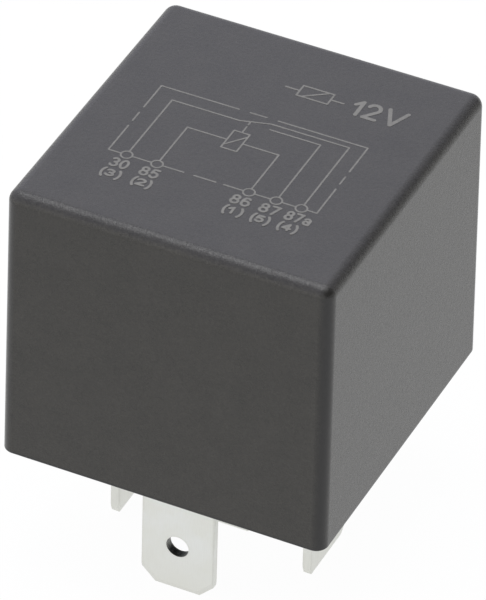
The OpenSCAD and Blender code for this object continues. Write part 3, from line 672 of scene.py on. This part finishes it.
def diagram_lines():
    """Strokes of the circuit diagram: dashed frame, wires, coil and changeover arm."""
    x30, x85, x86, x87, x87a = PINS.values()
    row = FRAME_BOTTOM
    pin_top = row + PIN_R
    coil_left, coil_right, coil_low, coil_high = -1.59, -0.25, -1.56, 0.84
    coil_x = (coil_left + coil_right) / 2
    wire_y = -0.47
    arm_low, arm_high = 2.17, 2.87
    lines = [
        # Dashed frame: left and right sides with the upper corners, then the dashes
        [(FRAME_LEFT, 0.35), (FRAME_LEFT, FRAME_TOP), (-2.44, FRAME_TOP)],
        [(-1.46, FRAME_TOP), (-0.06, FRAME_TOP)],
        [(0.93, FRAME_TOP), (FRAME_RIGHT, FRAME_TOP), (FRAME_RIGHT, 0.1)],
        [(FRAME_LEFT, -0.44), (FRAME_LEFT, -1.62)],
        [(FRAME_RIGHT, -0.66), (FRAME_RIGHT, -1.66)],
        [(FRAME_LEFT, -2.34), (FRAME_LEFT, row), (x30 - PIN_R, row)],
        [(FRAME_RIGHT, -2.40), (FRAME_RIGHT, row), (x87a + PIN_R, row)],
        [(x30 + PIN_R, row), (x85 - PIN_R, row)],
        [(x85 + PIN_R, row), (-2.72, row)],
        [(-1.82, row), (0.01, row)],
        [(0.71, row), (x86 - PIN_R, row)],
        [(x86 + PIN_R, row), (x87 - PIN_R, row)],
        [(x87 + PIN_R, row), (x87a - PIN_R, row)],
        # Wires
        [(x30, pin_top), (x30, arm_low), (-1.78, arm_low), (0.62, arm_high)],
        [(x87a, pin_top), (x87a, arm_high), (0.72, arm_high)],
        [(x87, pin_top), (x87, arm_low), (0.84, arm_low)],
        [(x85, pin_top), (x85, wire_y), (coil_left, wire_y)],
        [(x86, pin_top), (x86, wire_y), (coil_right, wire_y)],
        # Coil with its slanted line, and the dashed link to the arm
        [(coil_left, coil_low), (coil_right, coil_low), (coil_right, coil_high),
         (coil_left, coil_high), (coil_left, coil_low)],
        [(coil_left, -1.2), (coil_right, 0.5)],
        [(coil_x, coil_high), (coil_x, 1.7)],
        [(coil_x, 1.98), (coil_x, 2.35)],
    ]
    for x in PINS.values():
        lines.append(arc(x, row, PIN_R, PIN_R, 0, 360, 32))
    return lines


def coil_sign():
    """Strokes of the separate coil symbol beside the voltage."""
    left, right, low, high, middle = 0.71, 3.37, 7.2, 8.58, 7.84
    return [
        [(left, low), (right, low), (right, high), (left, high), (left, low)],
        [(1.12, low), (3.0, high)],
        [(-0.5, middle), (left, middle)],
        [(right, middle), (4.48, middle)],
    ]


def lid_print():
    """Circuit diagram, terminal numbers and voltage, as raised ink on the lid."""
    ink = Ink()
    for line in diagram_lines():
        ink.stroke(line, LINE_W)
    for line in coil_sign():
        ink.stroke(line, SYMBOL_W)
    for text, left, right, low, high in VOLTAGE:
        ink.word(text, left, right, low, high, BOLD_W)
    for text, left, right in NUMBERS:
        ink.word(text, left, right, NUMBER_LOW, NUMBER_HIGH, LABEL_W)
    for text, left, right in BRACKETS:
        ink.word(text, left, right, BRACKET_LOW, BRACKET_HIGH, LABEL_W)
    bmesh.ops.recalc_face_normals(ink.bm, faces=ink.bm.faces)
    piece = add_piece("lid_print", ink.bm, marking_ink())
    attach(piece, "housing")


# ---- Coil ----

WIRE_PITCH = 0.21 * MM
# Steps up each wire, and sides round the coil
WIRE_STEPS = 5
COIL_SIDES = 80


def coil_turns(material):
    """The winding's outer layer as rows of wire, on the same core and between the same flanges."""
    low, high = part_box("winding")
    axis_x, axis_y = (low.x + high.x) / 2, (low.y + high.y) / 2
    outer = (high.x - low.x) / 2
    inner = min(math.hypot(v.co.x - axis_x, v.co.y - axis_y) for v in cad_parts["winding"].data.vertices)
    turns = round((high.z - low.z) / WIRE_PITCH)
    pitch = (high.z - low.z) / turns
    profile = [(inner, low.z)]
    for n in range(turns * WIRE_STEPS + 1):
        # Each wire shows as a half circle, a little flattened by the next one
        a = math.pi * (n % WIRE_STEPS) / WIRE_STEPS
        profile.append((outer - pitch / 2 * (1 - math.sin(a)), low.z + pitch * n / WIRE_STEPS))
    profile.append((inner, high.z))
    bm = bmesh.new()
    rings = []
    for k in range(COIL_SIDES):
        a = 2 * math.pi * k / COIL_SIDES
        x, y = math.cos(a), math.sin(a)
        rings.append([bm.verts.new((axis_x + r * x, axis_y + r * y, z)) for r, z in profile])
    for here, ahead in zip(rings, rings[1:] + rings[:1]):
        for n in range(len(profile)):
            m = (n + 1) % len(profile)
            bm.faces.new((here[n], ahead[n], ahead[m], here[m]))
    bmesh.ops.recalc_face_normals(bm, faces=bm.faces)
    # The two flat ends stay flat
    for face in bm.faces:
        face.smooth = len({round(v.co.z / MM, 4) for v in face.verts}) > 1
    piece = add_piece("coil_turns", bm, material)
    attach(piece, "housing")
    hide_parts("winding")


# ---- Contact spring ----

SPRING_CELL = 0.8 * MM
# Faces that meet at a sharper angle than this have a hard edge
SPRING_FOLD = math.radians(40)


def flexing_spring():
    """The contact spring as a fine mesh, with hard edges where its faces meet at a sharp angle."""
    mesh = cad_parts["contact_spring"].data.copy()
    bm = bmesh.new()
    bm.from_mesh(mesh)
    bmesh.ops.remove_doubles(bm, verts=bm.verts, dist=MERGE)
    bmesh.ops.triangulate(bm, faces=bm.faces)
    for _ in range(2):
        long_edges = [e for e in bm.edges if e.calc_length() > SPRING_CELL]
        bmesh.ops.subdivide_edges(bm, edges=long_edges, cuts=1, use_grid_fill=False)
        bmesh.ops.triangulate(bm, faces=bm.faces)
    bmesh.ops.dissolve_degenerate(bm, dist=MERGE, edges=bm.edges)
    for edge in bm.edges:
        edge.smooth = edge.calc_face_angle(0) < SPRING_FOLD
    bm.to_mesh(mesh)
    bm.free()
    piece = add_object("spring_strip", mesh)
    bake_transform(piece)
    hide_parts("contact_spring")


# ---- Stage and light ----

FLOOR_REACH = 3.0
# Share of the floor that camera, mirror and glass rays see as plain white
FLOOR_GLOW = 0.975
# The room's light by direction: a dim right side, a bright back left, and less at the foot of its walls
BRIGHT_SIDE = (-0.97, 0.24, 0)
ROOM_DIM, ROOM_BRIGHT = 0.08, 1.58
ROOM_FOOT = 0.35
ROOM_COLOUR = (0.86, 0.87, 1.0)
# A low window at the front left
WINDOW_SIDE = (-0.33, -0.94, 0)
WINDOW_BRIGHT = 3.8
WINDOW_COLOUR = (1.0, 0.97, 0.90)
# The overhead lamp: its direction, distance, side in metres and power in watts
LAMP_SIDE = (-0.03, 0.02, 1)
LAMP_DISTANCE = 0.7
LAMP_SIZE = 0.3
LAMP_POWER = 2.5


def white_floor():
    """Pale floor that reads as white, also in reflections, and keeps the part's shadow."""
    mesh = bpy.data.meshes.new("floor")
    corners = [(x * FLOOR_REACH, y * FLOOR_REACH, FLOOR_Z) for x, y in ((-1, -1), (1, -1), (1, 1), (-1, 1))]
    mesh.from_pydata(corners, [], [(0, 1, 2, 3)])
    s = Shader("floor")
    s.set(Base_Color=(0.85, 0.85, 0.85, 1), Roughness=0.8, Specular_IOR_Level=0.1)
    rays = s.add("ShaderNodeLightPath")
    seen = s.math("MAXIMUM", rays.outputs["Is Camera Ray"],
                  s.math("MAXIMUM", rays.outputs["Is Glossy Ray"], rays.outputs["Is Transmission Ray"]))
    glow = s.add("ShaderNodeEmission")
    glow.inputs["Strength"].default_value = 1.0
    mix = s.add("ShaderNodeMixShader")
    s.link(s.math("MULTIPLY", seen, FLOOR_GLOW), mix.inputs[0])
    s.link(s.surface.outputs[0], mix.inputs[1])
    s.link(glow.outputs[0], mix.inputs[2])
    s.link(mix.outputs[0], s.tree.nodes["Material Output"].inputs["Surface"])
    mesh.materials.append(s.material)
    add_object("floor", mesh)


def world_light():
    """Studio room with a low window, as light that depends on its direction alone."""
    world = bpy.data.worlds.new("studio")
    bpy.context.scene.world = world
    world.use_nodes = True
    sky = Nodes(world.node_tree)
    way = sky.add("ShaderNodeTexCoord").outputs["Generated"]

    def along(direction):
        """1 straight towards a direction, 0 across it and -1 away from it."""
        node = sky.add("ShaderNodeVectorMath", operation="DOT_PRODUCT")
        node.inputs[1].default_value = Vector(direction).normalized()
        sky.link(way, node.inputs[0])
        return node.outputs["Value"]

    height = along((0, 0, 1))
    room = sky.math("MULTIPLY", sky.span(along(BRIGHT_SIDE), ROOM_DIM, ROOM_BRIGHT, -0.8, 0.5),
                    sky.span(height, ROOM_FOOT, 1, 0, 0.3, "SMOOTHSTEP"))
    window = sky.math("MULTIPLY", sky.span(along(WINDOW_SIDE), 0, 1, 0.5, 0.95, "SMOOTHSTEP"),
                      sky.span(height, WINDOW_BRIGHT, 0, 0.02, 0.16, "SMOOTHSTEP"))
    both = sky.add("ShaderNodeAddShader")
    for slot, (colour, strength) in enumerate(((ROOM_COLOUR, room), (WINDOW_COLOUR, window))):
        glow = sky.add("ShaderNodeBackground")
        glow.inputs["Color"].default_value = (*colour, 1)
        sky.link(strength, glow.inputs["Strength"])
        sky.link(glow.outputs[0], both.inputs[slot])
    sky.link(both.outputs[0], sky.tree.nodes["World Output"].inputs["Surface"])


def overhead_lamp():
    """Square area lamp, aimed at the middle of the case."""
    data = bpy.data.lights.new("overhead", "AREA")
    data.shape = "SQUARE"
    data.size = LAMP_SIZE
    data.energy = LAMP_POWER
    lamp = add_object("overhead", data)
    direction = Vector(LAMP_SIDE).normalized()
    lamp.location = CASE_MIDDLE + LAMP_DISTANCE * direction
    lamp.rotation_euler = direction.to_track_quat("Z", "Y").to_euler()


add_camera()
dress_cad()
case_shell(case_plastic())
coil_turns(bpy.data.materials["enamelled_copper"])
lid_print()
flexing_spring()
white_floor()
world_light()
overhead_lamp()

scene = bpy.context.scene
scene.view_settings.view_transform = "Standard"
